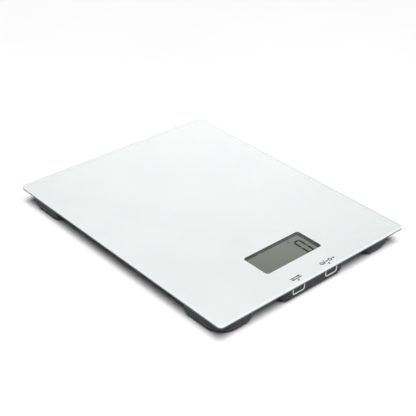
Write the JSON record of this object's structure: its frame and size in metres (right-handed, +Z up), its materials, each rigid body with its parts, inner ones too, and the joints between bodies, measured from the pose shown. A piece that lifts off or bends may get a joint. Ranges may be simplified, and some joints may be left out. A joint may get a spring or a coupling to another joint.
{
  "type": "kitchen scale",
  "caption": "Slim digital kitchen scale: a printed glass platform on load-cell feet, with a display window and two press keys in a housing under its front edge.",
  "frame": {"origin": "on the table, under the middle of the platform", "axes": "+Z up; +Y away from the keys, towards the back of the platform; +X to the right as seen from the key side"},
  "size_m": [0.18, 0.22, 0.016],
  "materials": {
    "glass": "clear tempered glass with ground edges",
    "white_print": "white enamel fired on the underside of the glass",
    "legend_print": "dark grey enamel",
    "tape": "double-sided foam tape",
    "charcoal_plastic": "fine spark-eroded texture",
    "cell_steel": "stamped spring steel",
    "potting": "white silicone potting over the gauges",
    "screw_steel": "zinc-plated",
    "foot_plastic": "moulded",
    "foot_rubber": "matt",
    "lead_sleeve": "soft PVC sleeve",
    "trim_plastic": "white, satin",
    "switch_plastic": "moulded",
    "bezel_plastic": "dark grey, matt",
    "display_glass": "grey-green liquid-crystal cell",
    "reflector_foil": "pearl reflector film",
    "contact_rubber": "striped conductive rubber",
    "board_laminate": "green solder mask",
    "epoxy_blob": "black epoxy",
    "coin_steel": "brushed nickel-plated steel",
    "contact_brass": "plated spring brass"
  },
  "bodies": {
    "scale": {"glass_platform": "glass", "white_print": "white_print", "legend_print": "legend_print", "pod_tapes": "tape", "housing_tape": "tape", "pod_front_left": "charcoal_plastic", "pod_front_right": "charcoal_plastic", "pod_back_left": "charcoal_plastic", "pod_back_right": "charcoal_plastic", "load_cell_front_left": "cell_steel", "load_cell_front_right": "cell_steel", "load_cell_back_left": "cell_steel", "load_cell_back_right": "cell_steel", "strain_gauges": "potting", "load_cell_screws": "screw_steel", "lead_front_left": "lead_sleeve", "lead_front_right": "lead_sleeve", "lead_back_left": "lead_sleeve", "lead_back_right": "lead_sleeve", "wire_duct_left": "charcoal_plastic", "wire_duct_right": "charcoal_plastic", "wire_duct_front_left": "charcoal_plastic", "wire_duct_front_right": "charcoal_plastic", "housing": "charcoal_plastic", "key_trim_left": "trim_plastic", "key_trim_right": "trim_plastic", "switch_left": "switch_plastic", "switch_right": "switch_plastic", "display_bezel": "bezel_plastic", "display_cell": "display_glass", "display_reflector": "reflector_foil", "display_contacts": "contact_rubber", "circuit_board": "board_laminate", "controller": "epoxy_blob", "board_parts": "epoxy_blob", "board_screws": "screw_steel", "coin_cell": "coin_steel", "contact_positive": "contact_brass", "contact_negative": "contact_brass", "battery_leads": "lead_sleeve"},
    "key_left": {"key_left": "charcoal_plastic", "switch_plunger_left": "switch_plastic"},
    "key_right": {"key_right": "charcoal_plastic", "switch_plunger_right": "switch_plastic"},
    "foot_front_left": {"foot_front_left": "foot_plastic", "foot_pad_front_left": "foot_rubber"},
    "foot_front_right": {"foot_front_right": "foot_plastic", "foot_pad_front_right": "foot_rubber"},
    "foot_back_left": {"foot_back_left": "foot_plastic", "foot_pad_back_left": "foot_rubber"},
    "foot_back_right": {"foot_back_right": "foot_plastic", "foot_pad_back_right": "foot_rubber"},
    "battery_door": {"battery_door": "charcoal_plastic"}
  },
  "joints": [
    {"name": "unit_key_press", "type": "slide", "parent": "scale", "child": "key_left", "axis": [0, 1, 0], "range_m": [0, 0.0005], "stiffness_N_per_m": 1500},
    {"name": "zero_key_press", "type": "slide", "parent": "scale", "child": "key_right", "axis": [0, 1, 0], "range_m": [0, 0.0005], "stiffness_N_per_m": 1500},
    {"name": "foot_front_left_load", "type": "slide", "parent": "scale", "child": "foot_front_left", "axis": [0, 0, 1], "range_m": [0, 0.0004], "stiffness_N_per_m": 1000, "springref_m": -0.002, "deforming": ["load_cell_front_left"]},
    {"name": "foot_front_right_load", "type": "slide", "parent": "scale", "child": "foot_front_right", "axis": [0, 0, 1], "range_m": [0, 0.0004], "stiffness_N_per_m": 1000, "springref_m": -0.002, "deforming": ["load_cell_front_right"]},
    {"name": "foot_back_left_load", "type": "slide", "parent": "scale", "child": "foot_back_left", "axis": [0, 0, 1], "range_m": [0, 0.0004], "stiffness_N_per_m": 1000, "springref_m": -0.002, "deforming": ["load_cell_back_left"]},
    {"name": "foot_back_right_load", "type": "slide", "parent": "scale", "child": "foot_back_right", "axis": [0, 0, 1], "range_m": [0, 0.0004], "stiffness_N_per_m": 1000, "springref_m": -0.002, "deforming": ["load_cell_back_right"]},
    {"name": "battery_door_slide", "type": "slide", "parent": "scale", "child": "battery_door", "axis": [0, 1, 0], "range_m": [0, 0.0265]}
  ]
}
